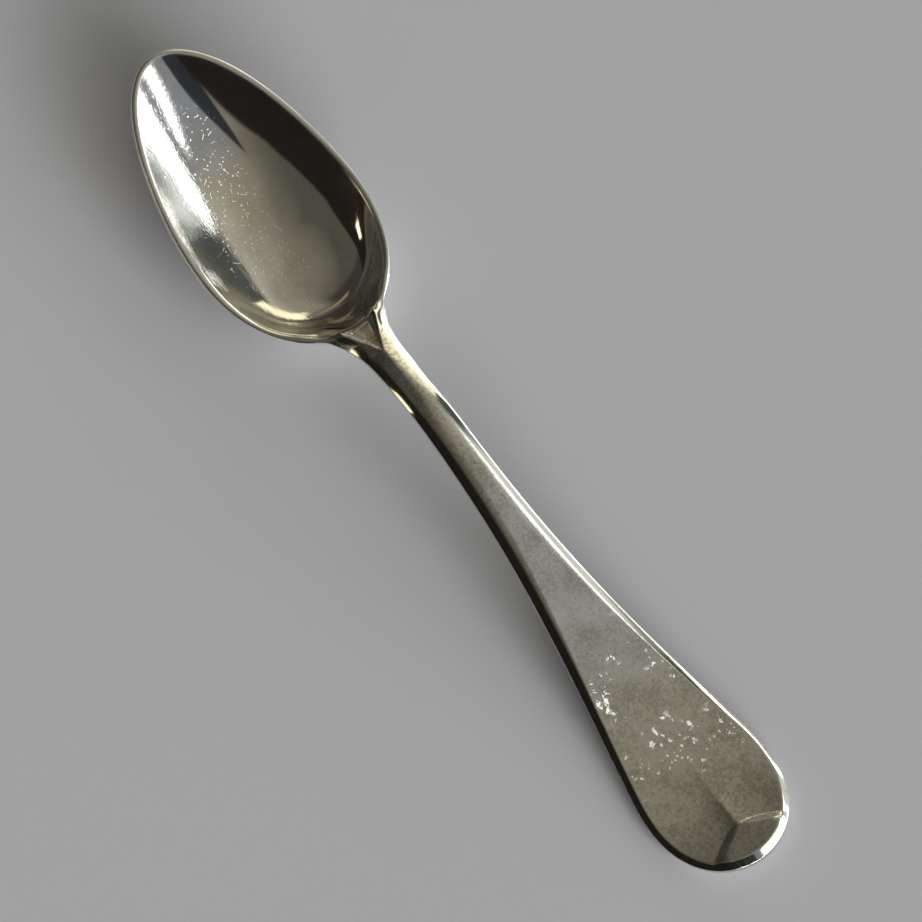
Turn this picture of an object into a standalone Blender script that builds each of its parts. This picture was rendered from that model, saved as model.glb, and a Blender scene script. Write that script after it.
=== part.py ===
"""A demitasse spoon: a hollow bowl and a forged stem, scarfed and soldered at the shoulders.

Metres, +Z up. The spoon lies as it rests on a table, with the tip of the bowl toward -X, the handle
toward +X and the origin on the table, under the middle of its length. Distances along the spoon are
counted from the tip.
"""

import math

import bmesh
import bpy
from mathutils import Matrix, Vector

# Bowl
BOWL_WIDTH = 0.0210
TIP_TO_WIDEST = 0.0232
WIDEST_TO_HEEL = 0.0145
BOWL_DEPTH = 0.0048
BOWL_WALL = 0.00105
RIM_ROUND = 0.00042
TIP_RISE = 0.0026
TIP_SHARPNESS = 1.74
FLOOR_FLATNESS = 1.4
HEEL_FLATNESS = 3.5
SIDE_FLATNESS = 1.05
REST_FLAT = 0.00012

# Shoulders, throat and heel
ROOT_WIDTH = 0.0099
ROOT_GROWTH = 0.0073
ROOT_SOFTNESS = 0.0015
SHOULDER_FILLET = 8.0
SHOULDER_SETBACK = 0.003
THROAT_LENGTH = 0.0044
THROAT_WIDTH = 0.0044
THROAT_DEPTH = 0.0005
THROAT_CURVE = 3.0
CREASE_SOFTNESS = 0.015
THROAT_SOFTNESS = 0.05
HEEL_LENGTH = 0.0065
HEEL_WIDTH = 0.0046
HEEL_HEIGHT = 0.00035
HEEL_EDGE = 0.0009

# Stem and handle
STEM_LENGTH = 0.0717
NECK_WIDTH = 0.0038
NECK_THICKNESS = 0.0032
NECK_ROUND = 0.0015
NECK_BEVEL = 0.00195
NECK_DROP = 0.00095
NECK_CURVE = 1.8
SHOULDER_CURVE = 1.15
HEEL_TO_NECK = 0.006
ARCH_HEIGHT = 0.0094
HEEL_TO_ARCH = 0.0125
RISE_LATENESS = 1.5
FALL_LATENESS = 0.8
HEEL_TO_FLARE = 0.0311
FLARE_SOFTNESS = 0.0074
HANDLE_WIDTH = 0.0149
HANDLE_THICKNESS = 0.0015
HANDLE_BEVEL = 0.00065
HANDLE_DROP = 0.00053
HANDLE_CURVE = 1.05
DEEPEST_BEVEL = 0.85
END_ROUND = 0.0130
END_TURN = 0.009
END_RISE = 0.0022

# Rib on the turned-up end, which broadens into a raised lobe
RIB_LENGTH = 0.0085
RIB_HEIGHT = 0.0004
RIB_SPREAD = 0.0013
RIB_CREST = 0.00015
LOBE_LENGTH = 0.0053
LOBE_HEIGHT = 0.0004
LOBE_EDGE = 0.0012
LOBE_SPLAY = 0.55
LOBE_FADE_FROM = 0.0032
LOBE_FADE_TO = 0.0056

# Soldered scarf
SCARF_LEAN = math.radians(25)
SCARF_BEYOND_HEEL = 0.0011
SOLDER_FILM = 0.0002
SEAT_GAP = 0.00002

# Mesh
COLUMNS = 13
FAN_ROWS = 12
BOWL_ROWS = 12
SHOULDER_ROWS = 18
STEM_ROWS = 24
HANDLE_ROWS = 6
FAN_LENGTH = 0.010
END_FAN_LENGTH = 0.008
SHOULDER_REACH = 0.005
PROBE = 0.00001
RAMP_BEND = 30.0
WELD = 0.000001

# Places along the spoon, from the tip
HEEL_AT = TIP_TO_WIDEST + WIDEST_TO_HEEL
LENGTH = HEEL_AT + STEM_LENGTH
NECK_AT = HEEL_AT + HEEL_TO_NECK
ARCH_AT = HEEL_AT + HEEL_TO_ARCH
FLARE_AT = HEEL_AT + HEEL_TO_FLARE
ROUND_AT = LENGTH - END_ROUND
REST_AT = LENGTH - END_TURN
SHOULDER_AT = HEEL_AT - SHOULDER_SETBACK
LOBE_AT = LENGTH - LOBE_LENGTH
RIM_HEIGHT = BOWL_DEPTH + BOWL_WALL / 2 - REST_FLAT


def ease(value, start, stop):
    """0 before start, 1 after stop, with a smooth rise between."""
    share = min(max((value - start) / (stop - start), 0.0), 1.0)
    return share * share * (3.0 - 2.0 * share)


def swing(value, start, stop, first, last):
    return first + (last - first) * ease(value, start, stop)


def soft_ramp(value, softness):
    """0 far below zero and the value itself far above it, with a soft bend between."""
    if value > RAMP_BEND * softness:
        return value
    return softness * math.log1p(math.exp(value / softness))


def half_width(along):
    """Half of the outline's width."""
    if along < TIP_TO_WIDEST:
        share = (TIP_TO_WIDEST - along) / TIP_TO_WIDEST
        return BOWL_WIDTH / 2 * math.sqrt(max(1.0 - share ** TIP_SHARPNESS, 0.0))
    share = (along - TIP_TO_WIDEST) / WIDEST_TO_HEEL
    bowl = BOWL_WIDTH / 2 * math.sqrt(max(1.0 - share ** 2, 0.0))
    root = ease(along, TIP_TO_WIDEST, TIP_TO_WIDEST + ROOT_GROWTH)
    root /= 1.0 + math.exp((along - HEEL_AT) / ROOT_SOFTNESS)
    flare_slope = (HANDLE_WIDTH - NECK_WIDTH) / 2 / soft_ramp(ROUND_AT - FLARE_AT, FLARE_SOFTNESS)
    flare = flare_slope * soft_ramp(along - FLARE_AT, FLARE_SOFTNESS)
    stem = NECK_WIDTH / 2 + root * (ROOT_WIDTH - NECK_WIDTH) / 2 + flare
    rounding = max(along - ROUND_AT, 0.0) / END_ROUND
    both = (bowl ** SHOULDER_FILLET + stem ** SHOULDER_FILLET) ** (1.0 / SHOULDER_FILLET)
    return both * math.sqrt(max(1.0 - rounding ** 2, 0.0))


def side_height(along):
    """Height of the rim and of the middle of the stem, as seen from the side."""
    rest_height = HANDLE_THICKNESS / 2 - REST_FLAT
    if along < TIP_TO_WIDEST:
        return swing(along, 0.0, TIP_TO_WIDEST, RIM_HEIGHT + TIP_RISE, RIM_HEIGHT)
    if along < ARCH_AT:
        share = (along - TIP_TO_WIDEST) / (ARCH_AT - TIP_TO_WIDEST)
        return swing(share ** RISE_LATENESS, 0.0, 1.0, RIM_HEIGHT, ARCH_HEIGHT)
    if along < REST_AT:
        share = (along - ARCH_AT) / (REST_AT - ARCH_AT)
        return swing(share ** FALL_LATENESS, 0.0, 1.0, ARCH_HEIGHT, rest_height)
    return rest_height + END_RISE * ((along - REST_AT) / END_TURN) ** 2


def half_thickness(along):
    if along < ARCH_AT:
        return swing(along, HEEL_AT - HEEL_LENGTH, NECK_AT, BOWL_WALL / 2, NECK_THICKNESS / 2)
    return swing(along, ARCH_AT, ROUND_AT, NECK_THICKNESS / 2, HANDLE_THICKNESS / 2)


def throat_half_width(along):
    return THROAT_WIDTH / 2 * max(HEEL_AT + THROAT_LENGTH - along, 0.0) / THROAT_LENGTH


def rounded_edge(along, inset):
    """Share of the thickness that is left near a rounded edge."""
    reach = swing(along, SHOULDER_AT, NECK_AT, RIM_ROUND, NECK_ROUND)
    short = max(1.0 - inset / reach, 0.0)
    return math.sqrt(1.0 - short ** 2)


def bevelled_edge(along, inset):
    """Share of the thickness left near a bevelled edge, which on the shoulders starts at the throat."""
    if along < ARCH_AT:
        reach = min(half_width(along) - throat_half_width(along), NECK_BEVEL)
        drop = NECK_DROP
        curve = swing(along, HEEL_AT, ARCH_AT, SHOULDER_CURVE, NECK_CURVE)
    else:
        reach = swing(along, ARCH_AT, ROUND_AT, NECK_BEVEL, HANDLE_BEVEL)
        drop = swing(along, ARCH_AT, ROUND_AT, NECK_DROP, HANDLE_DROP)
        curve = swing(along, ARCH_AT, ROUND_AT, NECK_CURVE, HANDLE_CURVE)
    short = max(1.0 - inset / reach, 0.0)
    return 1.0 - min(drop / half_thickness(along), DEEPEST_BEVEL) * short ** curve


def edge_profile(along, inset, above):
    """Share of the thickness that is left near the outline. Bevels take over earlier on top than below."""
    start, stop = (SHOULDER_AT, HEEL_AT) if above else (ARCH_AT, ROUND_AT)
    return swing(along, start, stop, rounded_edge(along, inset), bevelled_edge(along, inset))


def hollow(along, across):
    """Depth of the bowl's hollow below the rim: an egg that is deepest at the widest place."""
    if along < TIP_TO_WIDEST:
        lengthwise = ((TIP_TO_WIDEST - along) / TIP_TO_WIDEST) ** TIP_SHARPNESS
    else:
        lengthwise = ((along - TIP_TO_WIDEST) / WIDEST_TO_HEEL) ** 2
    sideways = (2.0 * across / BOWL_WIDTH) ** 2
    egg = lengthwise + sideways
    flatness = swing(sideways, 0.0, max(egg, WELD), FLOOR_FLATNESS, SIDE_FLATNESS)
    flatness = swing(along, TIP_TO_WIDEST, HEEL_AT, flatness, HEEL_FLATNESS)
    softness = swing(along, TIP_TO_WIDEST, SHOULDER_AT, CREASE_SOFTNESS, THROAT_SOFTNESS)
    return BOWL_DEPTH * soft_ramp(1.0 - egg ** flatness, softness)


def middle(along, across):
    """Height of the middle of the metal."""
    return side_height(along) - hollow(along, across)


def facing(along, across):
    """Unit vector out of the middle of the metal, upward."""
    rise_along = (middle(along + PROBE, across) - middle(along - PROBE, across)) / (2 * PROBE)
    rise_across = (middle(along, across + PROBE) - middle(along, across - PROBE)) / (2 * PROBE)
    return Vector((-rise_along, -rise_across, 1.0)).normalized()


def back_facing(along, across):
    """The same for the back, but straight up at the heel, where the metal bends too sharply."""
    upright = ease(along, TIP_TO_WIDEST, SHOULDER_AT) * (1.0 - ease(along, HEEL_AT, ARCH_AT))
    return facing(along, across).lerp(Vector((0.0, 0.0, 1.0)), upright).normalized()


def throat(along, across):
    """The three-cornered hollow between the shoulders, which runs out at a point on the neck."""
    wide = throat_half_width(along)
    if abs(across) >= wide:
        return 0.0
    depth = THROAT_DEPTH * min(wide / (THROAT_WIDTH / 2), 1.0) * ease(along, SHOULDER_AT, HEEL_AT)
    return depth * (1.0 - (abs(across) / wide) ** THROAT_CURVE)


def rib_and_lobe(along, across):
    """The rib down the middle of the end, which broadens into a raised lobe."""
    growth = ease(along, LOBE_AT - RIB_LENGTH, LOBE_AT)
    rib = RIB_HEIGHT * growth * math.exp(-math.hypot(across, RIB_CREST) / RIB_SPREAD)
    past_fold = along - LOBE_AT - LOBE_SPLAY * abs(across)
    fade = 1.0 - ease(abs(across), LOBE_FADE_FROM, LOBE_FADE_TO)
    lobe = LOBE_HEIGHT * ease(past_fold, 0.0, LOBE_EDGE) * fade
    return max(rib, lobe)


def heel(along, across):
    """The rounded drop on the back, where the stem's root runs out under the bowl."""
    nose = HEEL_AT - HEEL_LENGTH + HEEL_WIDTH / 2
    inside = HEEL_WIDTH / 2 - math.hypot(min(along - nose, 0.0), across)
    return HEEL_HEIGHT * ease(inside, 0.0, HEEL_EDGE) * (1.0 - ease(along, HEEL_AT, ARCH_AT))


def skin(along, across, inset, above):
    """A point on the spoon's surface, inset from its outline."""
    profile = edge_profile(along, inset, above)
    if above:
        relief = rib_and_lobe(along, across) - throat(along, across)
        offset = (half_thickness(along) + relief) * profile * facing(along, across)
    else:
        offset = -(half_thickness(along) + heel(along, across)) * profile * back_facing(along, across)
    point = Vector((along, across, middle(along, across))) + offset
    return Vector((point.x - LENGTH / 2, point.y, max(point.z, 0.0)))


def spread(start, stop, count):
    return [start + (stop - start) * step / count for step in range(count)]


def rows():
    """Outline places with the places on the middle line that they are joined to, from tip to end."""
    quarter = [math.cos(math.pi / 2 * step / FAN_ROWS) for step in range(FAN_ROWS)]
    shoulder_start = SHOULDER_AT - SHOULDER_REACH
    shoulder_stop = NECK_AT
    fan_stop = LENGTH - END_FAN_LENGTH
    straight = spread(FAN_LENGTH, shoulder_start, BOWL_ROWS)
    straight += spread(shoulder_start, shoulder_stop, SHOULDER_ROWS)
    straight += spread(shoulder_stop, ROUND_AT, STEM_ROWS)
    straight += spread(ROUND_AT, fan_stop, HANDLE_ROWS)
    tip_fan = [(FAN_LENGTH * (1.0 - turn), FAN_LENGTH) for turn in quarter]
    end_fan = [(LENGTH - END_FAN_LENGTH * (1.0 - turn), fan_stop) for turn in reversed(quarter)]
    return tip_fan + [(along, along) for along in straight] + [(fan_stop, fan_stop)] + end_fan


def half_blank():
    """One side of the whole spoon as a bent grid, open along the mirror plane, with the top first."""
    row_list = rows()
    row_steps = len(row_list) - 1
    column_steps = 2 * COLUMNS + 1
    grid = bmesh.new()
    bmesh.ops.create_grid(grid, x_segments=row_steps, y_segments=column_steps, size=1.0)
    for vert in grid.verts:
        edge_along, centre_along = row_list[round((vert.co.x + 1.0) / 2.0 * row_steps)]
        column = round((vert.co.y + 1.0) / 2.0 * column_steps)
        above = column <= COLUMNS
        from_edge = COLUMNS - column if above else column - COLUMNS - 1
        share = math.cos(math.pi / 2 * from_edge / COLUMNS) if from_edge < COLUMNS else 0.0
        along = centre_along + share * (edge_along - centre_along)
        wide = half_width(edge_along)
        inset = (1.0 - share) * math.hypot(wide, edge_along - centre_along)
        vert.co = skin(along, share * wide, inset, above)
    bmesh.ops.remove_doubles(grid, verts=grid.verts, dist=WELD)
    mesh = bpy.data.meshes.new("half_blank")
    grid.to_mesh(mesh)
    grid.free()
    for face in mesh.polygons:
        face.use_smooth = True
    return mesh


def scarf_block(name, start, stop, collection):
    """A cutter that fills the room between two planes along the scarf's leaning face."""
    scarf_along = HEEL_AT + SCARF_BEYOND_HEEL
    box = bmesh.new()
    bmesh.ops.create_cube(box, size=1.0)
    size = Matrix.Diagonal((stop - start, 2 * BOWL_WIDTH, 2 * LENGTH, 1.0))
    shift = Matrix.Translation(((start + stop) / 2, 0.0, 0.0))
    place = Matrix.Translation((scarf_along - LENGTH / 2, 0.0, middle(scarf_along, 0.0)))
    box.transform(place @ Matrix.Rotation(SCARF_LEAN, 4, "Y") @ shift @ size)
    mesh = bpy.data.meshes.new(name)
    box.to_mesh(mesh)
    box.free()
    block = bpy.data.objects.new(name, mesh)
    collection.objects.link(block)
    block.hide_render = True
    block.display_type = "WIRE"
    return block


def metal(name, colour, roughness):
    material = bpy.data.materials.new(name)
    material.use_nodes = True
    shader = material.node_tree.nodes["Principled BSDF"]
    shader.inputs["Base Color"].default_value = (*colour, 1.0)
    shader.inputs["Metallic"].default_value = 1.0
    shader.inputs["Roughness"].default_value = roughness
    return material


def piece(name, blank, cutter, operation, material, collection):
    """The whole blank, trimmed at the scarf to one piece of the spoon."""
    node = bpy.data.objects.new(name, blank.copy())
    node.data.name = name
    node.data.materials.append(material)
    collection.objects.link(node)
    mirror = node.modifiers.new("Mirror", "MIRROR")
    mirror.use_axis = (False, True, False)
    mirror.merge_threshold = WELD
    trim = node.modifiers.new("Scarf", "BOOLEAN")
    trim.object = cutter
    trim.operation = operation
    trim.solver = "EXACT"
    return node


def main():
    for old in list(bpy.data.objects):
        bpy.data.objects.remove(old)
    spoon = bpy.data.collections.new("demitasse_spoon")
    cutters = bpy.data.collections.new("cutters")
    bpy.context.scene.collection.children.link(spoon)
    bpy.context.scene.collection.children.link(cutters)

    face = SOLDER_FILM / 2
    stem_side = scarf_block("stem_side", -face, 2 * LENGTH, cutters)
    bowl_side = scarf_block("bowl_side", -2 * LENGTH, face, cutters)
    film = scarf_block("film", SEAT_GAP - face, face - SEAT_GAP, cutters)

    blank = half_blank()
    piece("bowl", blank, stem_side, "DIFFERENCE", metal("bowl_silver", (0.80, 0.79, 0.75), 0.12), spoon)
    piece("stem", blank, bowl_side, "DIFFERENCE", metal("stem_silver", (0.66, 0.645, 0.59), 0.23), spoon)
    piece("solder_seam", blank, film, "INTERSECT", metal("solder", (0.70, 0.68, 0.60), 0.35), spoon)
    bpy.data.meshes.remove(blank)


main()
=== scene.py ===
import math

import bmesh
import bpy
from mathutils import Matrix, Vector


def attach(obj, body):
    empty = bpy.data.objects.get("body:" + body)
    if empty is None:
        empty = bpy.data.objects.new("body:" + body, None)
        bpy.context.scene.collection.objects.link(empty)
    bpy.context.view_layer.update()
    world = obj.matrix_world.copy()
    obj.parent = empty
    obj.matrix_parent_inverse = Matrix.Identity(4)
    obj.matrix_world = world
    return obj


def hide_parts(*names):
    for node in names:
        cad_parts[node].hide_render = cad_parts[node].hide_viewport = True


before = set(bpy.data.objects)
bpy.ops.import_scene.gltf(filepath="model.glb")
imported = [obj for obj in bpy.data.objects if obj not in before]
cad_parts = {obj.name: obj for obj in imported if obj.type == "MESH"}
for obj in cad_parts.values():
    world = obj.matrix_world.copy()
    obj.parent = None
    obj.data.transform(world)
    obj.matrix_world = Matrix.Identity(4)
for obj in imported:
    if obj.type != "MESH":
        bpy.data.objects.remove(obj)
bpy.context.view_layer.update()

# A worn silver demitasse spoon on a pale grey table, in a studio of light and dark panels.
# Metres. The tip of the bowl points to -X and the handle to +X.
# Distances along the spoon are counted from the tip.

# Bowl
BOWL_WIDTH = 0.0210
TIP_TO_WIDEST = 0.0232
WIDEST_TO_HEEL = 0.0145
BOWL_DEPTH = 0.0048
BOWL_WALL = 0.00105
RIM_ROUND = 0.00042
TIP_RISE = 0.0026
TIP_SHARPNESS = 1.74
FLOOR_FLATNESS = 1.4
HEEL_FLATNESS = 3.5
SIDE_FLATNESS = 1.05
REST_FLAT = 0.00012

# Shoulders, throat and heel
ROOT_WIDTH = 0.0099
ROOT_GROWTH = 0.0073
ROOT_SOFTNESS = 0.0015
SHOULDER_FILLET = 8.0
SHOULDER_SETBACK = 0.003
THROAT_LENGTH = 0.0044
THROAT_WIDTH = 0.0044
THROAT_DEPTH = 0.0005
THROAT_CURVE = 3.0
CREASE_SOFTNESS = 0.015
THROAT_SOFTNESS = 0.05
HEEL_LENGTH = 0.0065
HEEL_WIDTH = 0.0046
HEEL_HEIGHT = 0.00035
HEEL_EDGE = 0.0009

# Stem and handle
STEM_LENGTH = 0.0717
NECK_WIDTH = 0.0038
NECK_THICKNESS = 0.0032
NECK_ROUND = 0.0015
NECK_BEVEL = 0.00195
NECK_DROP = 0.00095
NECK_CURVE = 1.8
SHOULDER_CURVE = 1.15
HEEL_TO_NECK = 0.006
ARCH_HEIGHT = 0.0094
HEEL_TO_ARCH = 0.0125
RISE_LATENESS = 1.5
FALL_LATENESS = 0.8
HEEL_TO_FLARE = 0.0311
FLARE_SOFTNESS = 0.0074
HANDLE_WIDTH = 0.0149
HANDLE_THICKNESS = 0.0015
HANDLE_BEVEL = 0.00065
HANDLE_DROP = 0.00053
HANDLE_CURVE = 1.05
DEEPEST_BEVEL = 0.85
END_ROUND = 0.0130
END_TURN = 0.009
END_RISE = 0.0022

# Rib on the turned-up end, which broadens into a raised lobe
RIB_LENGTH = 0.0085
RIB_HEIGHT = 0.0004
RIB_SPREAD = 0.0013
RIB_CREST = 0.00015
LOBE_LENGTH = 0.0053
LOBE_HEIGHT = 0.0004
LOBE_EDGE = 0.0012
LOBE_SPLAY = 0.55
LOBE_FADE_FROM = 0.0032
LOBE_FADE_TO = 0.0056

# Soldered scarf
SCARF_LEAN = math.radians(25)
SCARF_BEYOND_HEEL = 0.0011
SOLDER_FILM = 0.0002

# Mesh
COLUMNS = 48
FAN_ROWS = 60
BOWL_ROWS = 150
SHOULDER_ROWS = 90
STEM_ROWS = 160
HANDLE_ROWS = 60
FAN_LENGTH = 0.010
END_FAN_LENGTH = 0.008
SHOULDER_REACH = 0.005
PROBE = 0.00001
FINE_FIT = 0.9985
RAMP_BEND = 30.0
WELD = 0.0000001

# Places along the spoon, from the tip
HEEL_AT = TIP_TO_WIDEST + WIDEST_TO_HEEL
LENGTH = HEEL_AT + STEM_LENGTH
NECK_AT = HEEL_AT + HEEL_TO_NECK
ARCH_AT = HEEL_AT + HEEL_TO_ARCH
FLARE_AT = HEEL_AT + HEEL_TO_FLARE
ROUND_AT = LENGTH - END_ROUND
REST_AT = LENGTH - END_TURN
SHOULDER_AT = HEEL_AT - SHOULDER_SETBACK
LOBE_AT = LENGTH - LOBE_LENGTH
RIM_HEIGHT = BOWL_DEPTH + BOWL_WALL / 2 - REST_FLAT

# Camera, fitted to the photograph's outline
IMAGE_SIZE = 922.0
FOCAL_PIXELS = 3235.4
SENSOR_WIDTH = 36.0
CAMERA_DISTANCE = 0.35
CLIP_START = 0.01
TILT_TO_SIDE = math.radians(10.15)
TILT_TO_HANDLE = math.radians(6.06)
ROLL = math.radians(52.14)
TARGET = Vector((0.001096, 0.000036, 0.005))

# Colours of the metal, and how rough a scrape is
BRIGHT_SILVER = (0.80, 0.79, 0.75)
DULL_SILVER = (0.70, 0.67, 0.59)
WORN_SILVER = (0.66, 0.645, 0.59)
STAINED_SILVER = (0.44, 0.42, 0.36)
SCRAPED = (0.90, 0.90, 0.88)
SCRAPED_ROUGHNESS = 0.55

# Noise in the metal: scales per metre, and the values over which it takes hold
CLOUD_SCALE = 260.0
GRAIN_SCALE = 2600.0
GRAIN_MEAN = 0.5
TARNISH_RANGE = (0.35, 0.75)
GRAIN_RANGE = (0.25, 0.75)
GRAIN_ROUGHENS = (0.85, 1.2)
WAVE_SCALE = 160.0
BRUSH_STRETCH = (250.0, 5000.0, 5000.0)

# Hairlines, specks and pale flecks
BOWL_HAIRS = dict(spacing=0.0009, length=0.0004, width=0.00004, amount=0.5, seed=0.31)
BOWL_SPECKS = dict(spacing=0.0006, size=0.00011, amount=0.5)
STEM_HAIRS = dict(spacing=0.0009, length=0.0005, width=0.00004, amount=0.6, seed=0.17)
STEM_HAIR_SHARE = 0.4
SEED_SLANT = 0.7
FLECK_SCALE = 1300.0
FLECK_RANGE = (0.55, 0.65)
FLECK_PATCH_SCALE = 220.0
FLECK_PATCH_RANGE = (0.38, 0.52)

# Places in x or y where brushing, marks and flecks start, and where they reach full strength
BRUSH_SIDE = (0.001, -0.003)
MARKS_FAR_SIDE = (0.003, 0.0005)
MARKS_NEAR_SIDE = (-0.0075, -0.006)
MARKS_TIP = (-0.050, -0.046)
MARKS_HEEL = (-0.024, -0.028)
FLECKS_NECK = (0.018, 0.030)
FLECKS_END = (0.047, 0.042)

# Table
TABLE_COLOUR = (0.375, 0.378, 0.40)
TABLE_ROUGHNESS = 0.9
TABLE_REACH = 3.0

# Studio light, as the colour that each panel sends out
CEILING = (0.225, 0.213, 0.170)
CEILING_TO_HANDLE = 0.9
CEILING_TO_KEY = 1.1
CEILING_LEAST = 0.4
COOL_PANEL = (0.255, 0.262, 0.285)
LOW_GLOW = (0.31, 0.29, 0.235)
FAR_GLOW = (0.50, 0.475, 0.405)
TIP_FLAG = (0.045, 0.043, 0.036)
KEY_FLAG = (0.088, 0.094, 0.092)
BLUE_FLAG = (0.030, 0.034, 0.042)
BLACK_FLAG = (0.016, 0.014, 0.012)
BROWN_PANEL = (0.27, 0.225, 0.145)
KEY_FOOT = (0.36, 0.39, 0.38)
KEY_PANEL = (3.4, 3.55, 3.6)
KEY_EDGE = (0.85, 0.88, 0.87)
SMALL_PANEL = (3.0, 3.1, 3.2)
FILL = (19.0, 18.8, 18.4)
HORIZON = (4.5, 4.4, 4.2)
WARM_LAMP = (2.2, 1.9, 1.2)
WARM_STRIP = (1.5, 1.35, 0.95)
LOWEST = 0.01

# Panels of the studio, each a colour and its edges, with later ones over earlier ones
PANELS = [
    (COOL_PANEL, [(1, 0, -0.45, 0.2), (0, 1, 0.3, 0.2)]),
    (LOW_GLOW, [(0, 1, -0.38, 0.15), (-1, 0, -0.1, 0.2), (1, 0, 1.6, 0.6)]),
    (FAR_GLOW, [(0, 1, -1.1, 0.5), (-1, 0, 0.2, 0.3), (1, 0, 1.6, 0.6)]),
    (TIP_FLAG, [(-1, 0, -1.05, 0.25), (0, -1, 0.25, 0.15)]),
    (KEY_FLAG, [(0, 1, -1.65, 0.05), (1, 1, -1.2, 0.05)]),
    (BLUE_FLAG, [(0.3, 1, 0.263, 0.03), (0, -1, -0.01, 0.03), (1.07, -1, -0.797, 0.03)]),
    (BLACK_FLAG, [(0, -1, -1.06, 0.05), (0.27, -1, -1.13, 0.05)]),
    (BLACK_FLAG, [(1, -0.55, -1.02, 0.05), (0, -1, -0.42, 0.03)]),
    (BROWN_PANEL, [(1, 0, 3.0, 0.2), (-1, 0, -2.1, 0.1), (0, 1, 0.15, 0.1), (0, -1, 1.2, 0.2)]),
    (KEY_FOOT, [(1, 0, -0.25, 0.1), (0, 1, -2.6, 0.3)]),
    (KEY_PANEL, [(0.36, 1, -1.93, 0.08), (1, 0, -0.10, 0.05), (2, -1, 1.75, 0.15), (0, -1, 4.4, 0.4)]),
    (KEY_PANEL, [(-1, 0, -2.2, 0.2), (0, 1, -4.4, 0.4), (1, 0.6, 0, 0.3)]),
    (KEY_PANEL, [(1, 0, -1.2, 0.1), (0, 1, -0.3, 0.1), (1.25, -1, 0, 0.1)]),
    (KEY_EDGE, [(1, -0.09, 0, 0.05), (-1, 0.3, 0, 0.05), (0, 1, -2.9, 0.2), (0, -1, 6.2, 0.4)]),
    (KEY_EDGE, [(1, -0.10, 0, 0.1), (-1, 0.17, 0, 0.1), (0, 1, -5.8, 0.4), (0, -1, 18, 1)]),
    (KEY_PANEL, [(1, 0, -2.4, 0.2), (1, -0.27, 0, 0.1), (-1, 1.1, 0, 0.1)]),
    (SMALL_PANEL, [(1, 0.3, -0.925, 0.03), (-1.54, -1, 2.15, 0.04), (0, 1, -0.3, 0.05), (0, -1, 1.0, 0.05)]),
    (FILL, [(1, 0, -2.0, 0.1), (0.5, -1, 0, 0.1), (0.5, 1, 0, 0.1)]),
    (HORIZON, [(0, 1, -24, 2), (1, 0.5, 0, 1), (-1, 0.16, 0, 1)]),
    (WARM_LAMP, [(1, -0.5, 0, 0.05), (-1, 0.27, 0, 0.04), (0, -1, -2.4, 0.05), (0, 1, 3.4, 0.1)]),
    (WARM_STRIP, [(-1.89, 1, -3.5, 0.1), (1.89, -1, 10.5, 0.3), (-1, -0.25, 0, 0.05), (0.62, 1, 0, 0.1)]),
]


def ease(value, start, stop):
    """0 before start, 1 after stop, with a smooth rise between."""
    share = min(max((value - start) / (stop - start), 0.0), 1.0)
    return share * share * (3.0 - 2.0 * share)


def swing(value, start, stop, first, last):
    return first + (last - first) * ease(value, start, stop)


def soft_ramp(value, softness):
    """0 far below zero and the value itself far above it, with a soft bend between."""
    if value > RAMP_BEND * softness:
        return value
    return softness * math.log1p(math.exp(value / softness))


def half_width(along):
    """Half of the outline's width."""
    if along < TIP_TO_WIDEST:
        share = (TIP_TO_WIDEST - along) / TIP_TO_WIDEST
        return BOWL_WIDTH / 2 * math.sqrt(max(1.0 - share ** TIP_SHARPNESS, 0.0))
    share = (along - TIP_TO_WIDEST) / WIDEST_TO_HEEL
    bowl = BOWL_WIDTH / 2 * math.sqrt(max(1.0 - share ** 2, 0.0))
    root = ease(along, TIP_TO_WIDEST, TIP_TO_WIDEST + ROOT_GROWTH)
    root /= 1.0 + math.exp((along - HEEL_AT) / ROOT_SOFTNESS)
    flare_slope = (HANDLE_WIDTH - NECK_WIDTH) / 2 / soft_ramp(ROUND_AT - FLARE_AT, FLARE_SOFTNESS)
    flare = flare_slope * soft_ramp(along - FLARE_AT, FLARE_SOFTNESS)
    stem = NECK_WIDTH / 2 + root * (ROOT_WIDTH - NECK_WIDTH) / 2 + flare
    rounding = max(along - ROUND_AT, 0.0) / END_ROUND
    both = (bowl ** SHOULDER_FILLET + stem ** SHOULDER_FILLET) ** (1.0 / SHOULDER_FILLET)
    return both * math.sqrt(max(1.0 - rounding ** 2, 0.0))


def side_height(along):
    """Height of the rim and of the middle of the stem, as seen from the side."""
    rest_height = HANDLE_THICKNESS / 2 - REST_FLAT
    if along < TIP_TO_WIDEST:
        return swing(along, 0.0, TIP_TO_WIDEST, RIM_HEIGHT + TIP_RISE, RIM_HEIGHT)
    if along < ARCH_AT:
        share = (along - TIP_TO_WIDEST) / (ARCH_AT - TIP_TO_WIDEST)
        return swing(share ** RISE_LATENESS, 0.0, 1.0, RIM_HEIGHT, ARCH_HEIGHT)
    if along < REST_AT:
        share = (along - ARCH_AT) / (REST_AT - ARCH_AT)
        return swing(share ** FALL_LATENESS, 0.0, 1.0, ARCH_HEIGHT, rest_height)
    return rest_height + END_RISE * ((along - REST_AT) / END_TURN) ** 2


def half_thickness(along):
    if along < ARCH_AT:
        return swing(along, HEEL_AT - HEEL_LENGTH, NECK_AT, BOWL_WALL / 2, NECK_THICKNESS / 2)
    return swing(along, ARCH_AT, ROUND_AT, NECK_THICKNESS / 2, HANDLE_THICKNESS / 2)


def throat_half_width(along):
    return THROAT_WIDTH / 2 * max(HEEL_AT + THROAT_LENGTH - along, 0.0) / THROAT_LENGTH


def rounded_edge(along, inset):
    """Share of the thickness that is left near a rounded edge."""
    reach = swing(along, SHOULDER_AT, NECK_AT, RIM_ROUND, NECK_ROUND)
    short = max(1.0 - inset / reach, 0.0)
    return math.sqrt(1.0 - short ** 2)


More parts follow.
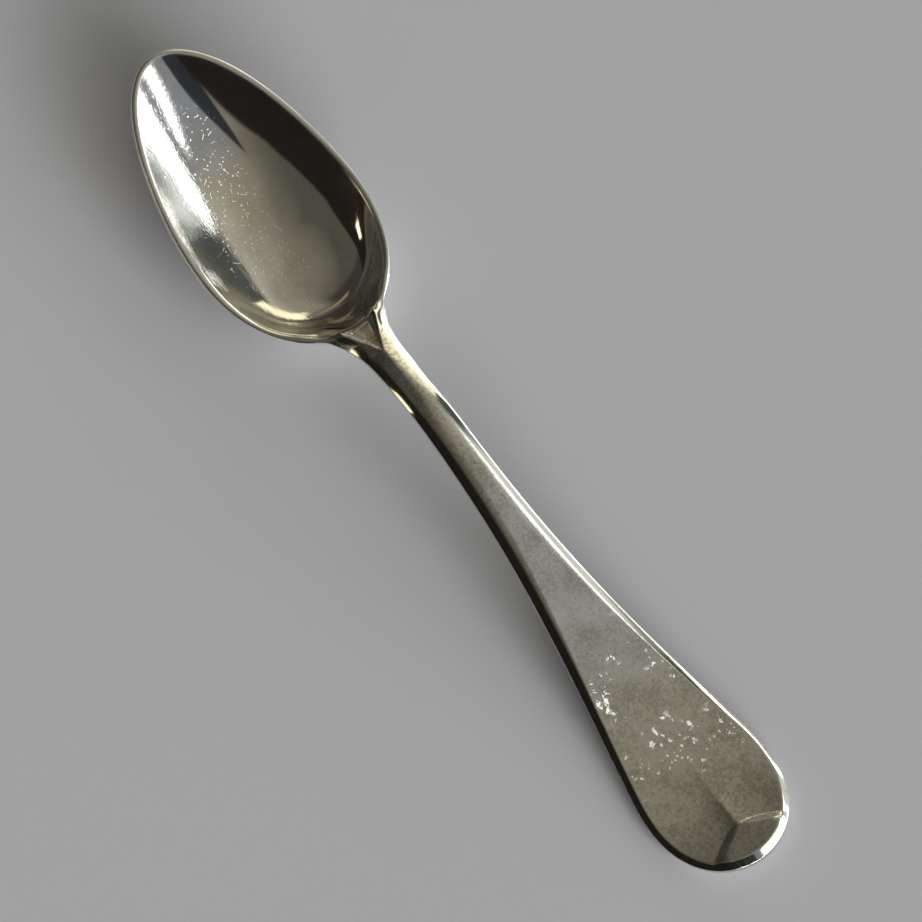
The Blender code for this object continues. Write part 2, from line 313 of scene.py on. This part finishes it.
def bevelled_edge(along, inset):
    """Share of the thickness that is left near a bevelled edge.

    On the shoulders the bevels start at the throat.
    """
    if along < ARCH_AT:
        reach = min(half_width(along) - throat_half_width(along), NECK_BEVEL)
        drop = NECK_DROP
        curve = swing(along, HEEL_AT, ARCH_AT, SHOULDER_CURVE, NECK_CURVE)
    else:
        reach = swing(along, ARCH_AT, ROUND_AT, NECK_BEVEL, HANDLE_BEVEL)
        drop = swing(along, ARCH_AT, ROUND_AT, NECK_DROP, HANDLE_DROP)
        curve = swing(along, ARCH_AT, ROUND_AT, NECK_CURVE, HANDLE_CURVE)
    short = max(1.0 - inset / reach, 0.0)
    return 1.0 - min(drop / half_thickness(along), DEEPEST_BEVEL) * short ** curve


def edge_profile(along, inset, above):
    """Share of the thickness that is left near the outline. Bevels take over earlier on top than below."""
    start, stop = (SHOULDER_AT, HEEL_AT) if above else (ARCH_AT, ROUND_AT)
    return swing(along, start, stop, rounded_edge(along, inset), bevelled_edge(along, inset))


def hollow(along, across):
    """Depth of the bowl's hollow below the rim: an egg that is deepest at the widest place."""
    if along < TIP_TO_WIDEST:
        lengthwise = ((TIP_TO_WIDEST - along) / TIP_TO_WIDEST) ** TIP_SHARPNESS
    else:
        lengthwise = ((along - TIP_TO_WIDEST) / WIDEST_TO_HEEL) ** 2
    sideways = (2.0 * across / BOWL_WIDTH) ** 2
    egg = lengthwise + sideways
    flatness = swing(sideways, 0.0, max(egg, WELD), FLOOR_FLATNESS, SIDE_FLATNESS)
    flatness = swing(along, TIP_TO_WIDEST, HEEL_AT, flatness, HEEL_FLATNESS)
    softness = swing(along, TIP_TO_WIDEST, SHOULDER_AT, CREASE_SOFTNESS, THROAT_SOFTNESS)
    return BOWL_DEPTH * soft_ramp(1.0 - egg ** flatness, softness)


def middle(along, across):
    """Height of the middle of the metal."""
    return side_height(along) - hollow(along, across)


def facing(along, across):
    """Unit vector out of the middle of the metal, upward."""
    rise_along = (middle(along + PROBE, across) - middle(along - PROBE, across)) / (2 * PROBE)
    rise_across = (middle(along, across + PROBE) - middle(along, across - PROBE)) / (2 * PROBE)
    return Vector((-rise_along, -rise_across, 1.0)).normalized()


def back_facing(along, across):
    """The same for the back, but straight up at the heel, where the metal bends too sharply for it."""
    upright = ease(along, TIP_TO_WIDEST, SHOULDER_AT) * (1.0 - ease(along, HEEL_AT, ARCH_AT))
    return facing(along, across).lerp(Vector((0.0, 0.0, 1.0)), upright).normalized()


def throat(along, across):
    """The three-cornered hollow between the shoulders, which runs out at a point on the neck."""
    wide = throat_half_width(along)
    if abs(across) >= wide:
        return 0.0
    depth = THROAT_DEPTH * min(wide / (THROAT_WIDTH / 2), 1.0) * ease(along, SHOULDER_AT, HEEL_AT)
    return depth * (1.0 - (abs(across) / wide) ** THROAT_CURVE)


def rib_and_lobe(along, across):
    """The rib down the middle of the end, which broadens into a raised lobe."""
    growth = ease(along, LOBE_AT - RIB_LENGTH, LOBE_AT)
    rib = RIB_HEIGHT * growth * math.exp(-math.hypot(across, RIB_CREST) / RIB_SPREAD)
    past_fold = along - LOBE_AT - LOBE_SPLAY * abs(across)
    fade = 1.0 - ease(abs(across), LOBE_FADE_FROM, LOBE_FADE_TO)
    lobe = LOBE_HEIGHT * ease(past_fold, 0.0, LOBE_EDGE) * fade
    return max(rib, lobe)


def heel(along, across):
    """The rounded drop on the back, where the stem's root runs out under the bowl."""
    nose = HEEL_AT - HEEL_LENGTH + HEEL_WIDTH / 2
    inside = HEEL_WIDTH / 2 - math.hypot(min(along - nose, 0.0), across)
    return HEEL_HEIGHT * ease(inside, 0.0, HEEL_EDGE) * (1.0 - ease(along, HEEL_AT, ARCH_AT))


def skin(along, across, inset, above):
    """A point on the spoon's surface, inset from its outline.

    The fine skin stays within the faceted solids' box.
    """
    profile = edge_profile(along, inset, above)
    if above:
        relief = rib_and_lobe(along, across) - throat(along, across)
        offset = (half_thickness(along) + relief) * profile * facing(along, across)
    else:
        offset = -(half_thickness(along) + heel(along, across)) * profile * back_facing(along, across)
    point = Vector((along, across, middle(along, across))) + offset
    return FINE_FIT * Vector((point.x - LENGTH / 2, point.y, max(point.z, 0.0)))


def spread(start, stop, count):
    return [start + (stop - start) * step / count for step in range(count)]


def outline_places():
    """Places along the outline, from tip to end, closer together round both ends."""
    quarter = [math.cos(math.pi / 2 * step / FAN_ROWS) for step in range(FAN_ROWS)]
    places = [FAN_LENGTH * (1.0 - turn) for turn in quarter]
    places += spread(FAN_LENGTH, SHOULDER_AT - SHOULDER_REACH, BOWL_ROWS)
    places += spread(SHOULDER_AT - SHOULDER_REACH, NECK_AT, SHOULDER_ROWS)
    places += spread(NECK_AT, ROUND_AT, STEM_ROWS)
    places += spread(ROUND_AT, LENGTH - END_FAN_LENGTH, HANDLE_ROWS)
    places += [LENGTH - END_FAN_LENGTH]
    return places + [LENGTH - END_FAN_LENGTH * (1.0 - turn) for turn in reversed(quarter)]


def ring(edge_along):
    """A closed ring of points round the metal, from one edge over the top to the other and back below.

    Each point comes with its inset from the outline.
    """
    centre_along = min(max(edge_along, FAN_LENGTH), LENGTH - END_FAN_LENGTH)
    wide = half_width(edge_along)
    reach = math.hypot(wide, edge_along - centre_along)
    points = []
    for above in (True, False):
        for step in range(2 * COLUMNS + 1):
            signed_share = math.cos(math.pi / 2 * step / COLUMNS)
            if not above:
                signed_share = -signed_share
            share = abs(signed_share)
            along = centre_along + share * (edge_along - centre_along)
            inset = (1.0 - share) * reach
            points.append((skin(along, signed_share * wide, inset, above), inset))
    return points


def whole_spoon():
    """The spoon's whole skin as one closed mesh, with each point's inset from the outline kept on it."""
    skin_mesh = bmesh.new()
    inset_layer = skin_mesh.verts.layers.float.new("inset")
    rings = []
    for place in outline_places():
        verts = []
        for point, inset in ring(place):
            vert = skin_mesh.verts.new(point)
            vert[inset_layer] = inset
            verts.append(vert)
        rings.append(verts)
    for first, second in zip(rings, rings[1:]):
        for step in range(len(first)):
            after = (step + 1) % len(first)
            skin_mesh.faces.new((first[step], second[step], second[after], first[after]))
    bmesh.ops.remove_doubles(skin_mesh, verts=skin_mesh.verts, dist=WELD)
    bmesh.ops.dissolve_degenerate(skin_mesh, edges=skin_mesh.edges, dist=WELD)
    bmesh.ops.recalc_face_normals(skin_mesh, faces=skin_mesh.faces)
    for face in skin_mesh.faces:
        face.smooth = True
    return skin_mesh


def trim(skin_mesh, offset, keep_bowl_side):
    """Cuts the skin at a plane beside the scarf, drops one side and closes the other."""
    scarf_along = HEEL_AT + SCARF_BEYOND_HEEL
    across_scarf = Matrix.Rotation(SCARF_LEAN, 3, "Y") @ Vector((1.0, 0.0, 0.0))
    place = Vector((scarf_along - LENGTH / 2, 0.0, middle(scarf_along, 0.0))) + offset * across_scarf
    geometry = skin_mesh.verts[:] + skin_mesh.edges[:] + skin_mesh.faces[:]
    cut = bmesh.ops.bisect_plane(skin_mesh, geom=geometry, plane_co=place, plane_no=across_scarf,
                                 clear_outer=keep_bowl_side, clear_inner=not keep_bowl_side)
    border = [item for item in cut["geom_cut"] if isinstance(item, bmesh.types.BMEdge)]
    for edge in border:
        edge.smooth = False
    bmesh.ops.edgeloop_fill(skin_mesh, edges=border)


def add_piece(name, skin_mesh, material, node):
    mesh = bpy.data.meshes.new(name)
    skin_mesh.to_mesh(mesh)
    skin_mesh.free()
    mesh.materials.append(material)
    piece = bpy.data.objects.new(name, mesh)
    bpy.context.scene.collection.objects.link(piece)
    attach(piece, "root")
    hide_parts(node)


class Nodes:
    """Short calls that add shader nodes to one tree and join them up."""

    def __init__(self, tree):
        self.tree = tree

    def add(self, kind, **settings):
        node = self.tree.nodes.new(kind)
        for name, value in settings.items():
            setattr(node, name, value)
        return node

    def plug(self, socket, value):
        if isinstance(value, bpy.types.NodeSocket):
            self.tree.links.new(value, socket)
        else:
            socket.default_value = value

    def math(self, operation, *values):
        node = self.add("ShaderNodeMath", operation=operation)
        for socket, value in zip(node.inputs, values):
            self.plug(socket, value)
        return node.outputs[0]

    def step(self, value, start, stop, low=0.0, high=1.0):
        """A smooth change from low to high while the value goes from start to stop."""
        node = self.add("ShaderNodeMapRange", interpolation_type="SMOOTHSTEP")
        for socket, number in zip(node.inputs, (value, start, stop, low, high)):
            self.plug(socket, number)
        return node.outputs[0]

    def blend(self, share, first, second):
        node = self.add("ShaderNodeMix", data_type="RGBA")
        self.plug(node.inputs[0], share)
        self.plug(node.inputs[6], first)
        self.plug(node.inputs[7], second)
        return node.outputs[2]

    def noise(self, vector, scale, detail=2.0, roughness=0.5):
        node = self.add("ShaderNodeTexNoise")
        self.plug(node.inputs["Vector"], vector)
        self.plug(node.inputs["Scale"], scale)
        self.plug(node.inputs["Detail"], detail)
        self.plug(node.inputs["Roughness"], roughness)
        return node.outputs["Fac"]

    def split(self, vector):
        node = self.add("ShaderNodeSeparateXYZ")
        self.plug(node.inputs[0], vector)
        return node.outputs

    def scratches(self, place, spacing, length, width, amount, seed):
        """A mask of straight hairlines in random directions, one at most in each cell of a random net."""
        moved = self.add("ShaderNodeVectorMath", operation="ADD")
        self.plug(moved.inputs[0], place)
        moved.inputs[1].default_value = (seed, SEED_SLANT * seed, 0.0)
        cells = self.add("ShaderNodeTexVoronoi", voronoi_dimensions="2D")
        self.plug(cells.inputs["Vector"], moved.outputs[0])
        cells.inputs["Scale"].default_value = 1.0 / spacing
        away = self.add("ShaderNodeVectorMath", operation="SUBTRACT")
        self.plug(away.inputs[0], moved.outputs[0])
        self.plug(away.inputs[1], cells.outputs["Position"])
        chance = self.split(cells.outputs["Color"])
        turned = self.add("ShaderNodeVectorRotate", rotation_type="Z_AXIS")
        self.plug(turned.inputs["Vector"], away.outputs[0])
        self.plug(turned.inputs["Angle"], self.math("MULTIPLY", chance[0], math.tau))
        lengthwise, sideways, _ = self.split(turned.outputs[0])
        thin = self.step(self.math("ABSOLUTE", sideways), width / 2, width, 1.0, 0.0)
        reach = self.math("MULTIPLY", chance[1], length)
        short = self.math("LESS_THAN", self.math("ABSOLUTE", lengthwise), reach)
        kept = self.math("LESS_THAN", chance[2], amount)
        return self.math("MULTIPLY", self.math("MULTIPLY", thin, short), kept)

    def specks(self, place, spacing, size, amount):
        """A mask of small round marks of mixed sizes."""
        cells = self.add("ShaderNodeTexVoronoi", voronoi_dimensions="2D")
        self.plug(cells.inputs["Vector"], place)
        cells.inputs["Scale"].default_value = 1.0 / spacing
        chance = self.split(cells.outputs["Color"])
        radius = self.math("MULTIPLY", chance[0], size / spacing)
        inside = self.math("LESS_THAN", cells.outputs["Distance"], radius)
        kept = self.math("LESS_THAN", chance[1], amount)
        return self.math("MULTIPLY", inside, kept)


def uneven_surface(nodes, place, wave, brush):
    """A normal bent by slow waves all over and by brushing along one side, both given as heights."""
    stretched = nodes.add("ShaderNodeVectorMath", operation="MULTIPLY")
    nodes.plug(stretched.inputs[0], place)
    stretched.inputs[1].default_value = BRUSH_STRETCH
    lines = nodes.math("MULTIPLY", nodes.noise(stretched.outputs[0], 1.0, detail=3.0), brush)
    lines = nodes.math("MULTIPLY", lines, nodes.step(nodes.split(place)[1], *BRUSH_SIDE))
    waves = nodes.noise(place, WAVE_SCALE, detail=1.0)
    bump = nodes.add("ShaderNodeBump")
    bump.inputs["Strength"].default_value = 1.0
    bump.inputs["Distance"].default_value = 1.0
    nodes.plug(bump.inputs["Height"], nodes.math("MULTIPLY_ADD", waves, wave, lines))
    return bump.outputs[0]


def silver(name, bright, tarnished, mottle, edge, edge_roughness, face_roughness, wave, brush, marks):
    """Worn silver: tarnish and marks on its face, cleaner edges, and a slightly uneven surface."""
    material = bpy.data.materials.new(name)
    material.use_nodes = True
    nodes = Nodes(material.node_tree)
    shader = material.node_tree.nodes["Principled BSDF"]
    shader.inputs["Metallic"].default_value = 1.0
    place = nodes.add("ShaderNodeTexCoord").outputs["Object"]
    inset = nodes.add("ShaderNodeAttribute", attribute_name="inset").outputs["Fac"]
    face = nodes.step(inset, edge / 2, 1.5 * edge)
    cloud = nodes.noise(place, CLOUD_SCALE, detail=4.0, roughness=0.6)
    grain = nodes.noise(place, GRAIN_SCALE, detail=2.0, roughness=0.6)
    mark = nodes.math("MULTIPLY", marks(nodes, place), face)
    patches = nodes.math("MULTIPLY_ADD", nodes.math("SUBTRACT", grain, GRAIN_MEAN), mottle, cloud)
    tarnish = nodes.math("MULTIPLY", nodes.step(patches, *TARNISH_RANGE), face)
    colour = nodes.blend(tarnish, (*bright, 1.0), (*tarnished, 1.0))
    nodes.plug(shader.inputs["Base Color"], nodes.blend(mark, colour, (*SCRAPED, 1.0)))
    rough = nodes.step(face, 0.0, 1.0, edge_roughness, face_roughness)
    rough = nodes.math("MULTIPLY", rough, nodes.step(grain, *GRAIN_RANGE, *GRAIN_ROUGHENS))
    rough = nodes.math("MAXIMUM", rough, nodes.math("MULTIPLY", mark, SCRAPED_ROUGHNESS))
    nodes.plug(shader.inputs["Roughness"], rough)
    nodes.plug(shader.inputs["Normal"], uneven_surface(nodes, place, wave, brush))
    return material


def bowl_marks(nodes, place):
    """Hairlines and specks where a spoon scrapes, on the floor and the near side of the bowl."""
    mark = nodes.math("MAXIMUM", nodes.scratches(place, **BOWL_HAIRS), nodes.specks(place, **BOWL_SPECKS))
    x, y, _ = nodes.split(place)
    for place_on_axis, fade in ((y, MARKS_FAR_SIDE), (y, MARKS_NEAR_SIDE), (x, MARKS_TIP), (x, MARKS_HEEL)):
        mark = nodes.math("MULTIPLY", mark, nodes.step(place_on_axis, *fade))
    return mark


def stem_marks(nodes, place):
    """Faint hairlines all over, and pale flecks on the flat of the handle."""
    hairs = nodes.scratches(place, **STEM_HAIRS)
    flecks = nodes.step(nodes.noise(place, FLECK_SCALE, detail=3.0, roughness=0.65), *FLECK_RANGE)
    patch = nodes.step(nodes.noise(place, FLECK_PATCH_SCALE, detail=1.0), *FLECK_PATCH_RANGE)
    x = nodes.split(place)[0]
    flat = nodes.math("MULTIPLY", nodes.step(x, *FLECKS_NECK), nodes.step(x, *FLECKS_END))
    flecks = nodes.math("MULTIPLY", flecks, nodes.math("MULTIPLY", patch, flat))
    return nodes.math("MAXIMUM", nodes.math("MULTIPLY", hairs, STEM_HAIR_SHARE), flecks)


def make_spoon():
    whole = whole_spoon()
    bowl, stem, film = whole.copy(), whole.copy(), whole.copy()
    whole.free()
    face = SOLDER_FILM / 2
    trim(bowl, -face, True)
    trim(stem, face, False)
    trim(film, face, True)
    trim(film, -face, False)
    polished = silver("polished_silver", BRIGHT_SILVER, DULL_SILVER, mottle=0.1, edge=0.0005,
                      edge_roughness=0.22, face_roughness=0.07,
                      wave=0.00002, brush=0.000014, marks=bowl_marks)
    satin = silver("satin_silver", WORN_SILVER, STAINED_SILVER, mottle=1.3, edge=0.0008,
                   edge_roughness=0.08, face_roughness=0.23,
                   wave=0.00001, brush=0.0, marks=stem_marks)
    solder = silver("silver_solder", DULL_SILVER, DULL_SILVER, mottle=0.0, edge=0.0005,
                    edge_roughness=0.2, face_roughness=0.2,
                    wave=0.00002, brush=0.0, marks=bowl_marks)
    add_piece("spoon_bowl", bowl, polished, "bowl")
    add_piece("spoon_stem", stem, satin, "stem")
    add_piece("solder_line", film, solder, "solder_seam")


def make_floor():
    floor_mesh = bpy.data.meshes.new("table")
    corners = [(TABLE_REACH * x, TABLE_REACH * y, 0.0) for x, y in ((-1, -1), (1, -1), (1, 1), (-1, 1))]
    floor_mesh.from_pydata(corners, [], [(0, 1, 2, 3)])
    floor = bpy.data.objects.new("table", floor_mesh)
    bpy.context.scene.collection.objects.link(floor)
    material = bpy.data.materials.new("table_grey")
    material.use_nodes = True
    shader = material.node_tree.nodes["Principled BSDF"]
    shader.inputs["Base Color"].default_value = (*TABLE_COLOUR, 1.0)
    shader.inputs["Roughness"].default_value = TABLE_ROUGHNESS
    floor_mesh.materials.append(material)


def make_camera():
    """The camera, from where it looks along the spoon and how it is turned."""
    back = Vector((math.sin(TILT_TO_HANDLE), -math.sin(TILT_TO_SIDE), 0.0))
    back.z = math.sqrt(1.0 - back.length_squared)
    down = Vector((math.sin(ROLL), -math.cos(ROLL), 0.0))
    down = (down - back * down.dot(back)).normalized()
    right = back.cross(down)
    camera = bpy.data.objects.new("camera", bpy.data.cameras.new("camera"))
    bpy.context.scene.collection.objects.link(camera)
    turn = Matrix((right, -down, back)).transposed().to_4x4()
    camera.matrix_world = Matrix.Translation(TARGET + CAMERA_DISTANCE * back) @ turn
    camera.data.sensor_width = SENSOR_WIDTH
    camera.data.lens = FOCAL_PIXELS / IMAGE_SIZE * SENSOR_WIDTH
    camera.data.clip_start = CLIP_START
    bpy.context.scene.camera = camera


def make_studio():
    """The world, by direction: a graded ceiling with bright, dark and warm panels in it.

    A place is u, v: its x and y over its height, seen from the spoon. An edge is (a, b, c, softness),
    and a panel lies where a * u + b * v + c is above zero for all of its edges.
    """
    world = bpy.data.worlds.new("studio")
    world.use_nodes = True
    nodes = Nodes(world.node_tree)
    x, y, z = nodes.split(nodes.add("ShaderNodeTexCoord").outputs["Generated"])
    height = nodes.math("MAXIMUM", z, LOWEST)
    u = nodes.math("DIVIDE", x, height)
    v = nodes.math("DIVIDE", y, height)

    def inside(edges):
        """1 where a place is on the right side of all the edges, 0 elsewhere."""
        mask = 1.0
        for u_share, v_share, offset, softness in edges:
            side = nodes.math("MULTIPLY_ADD", v, v_share, offset)
            side = nodes.math("MULTIPLY_ADD", u, u_share, side)
            mask = nodes.math("MULTIPLY", nodes.step(side, -softness, softness), mask)
        return mask

    light = nodes.math("MULTIPLY_ADD", y, CEILING_TO_KEY, 1.0)
    light = nodes.math("MULTIPLY_ADD", x, CEILING_TO_HANDLE, light)
    lit = nodes.add("ShaderNodeVectorMath", operation="SCALE")
    lit.inputs[0].default_value = CEILING
    nodes.plug(lit.inputs["Scale"], nodes.math("MAXIMUM", light, CEILING_LEAST))
    colour = lit.outputs[0]
    for paint, edges in PANELS:
        colour = nodes.blend(inside(edges), colour, (*paint, 1.0))
    nodes.plug(world.node_tree.nodes["Background"].inputs["Color"], colour)
    bpy.context.scene.world = world


make_spoon()
make_floor()
make_camera()
make_studio()
bpy.context.scene.view_settings.view_transform = "Standard"
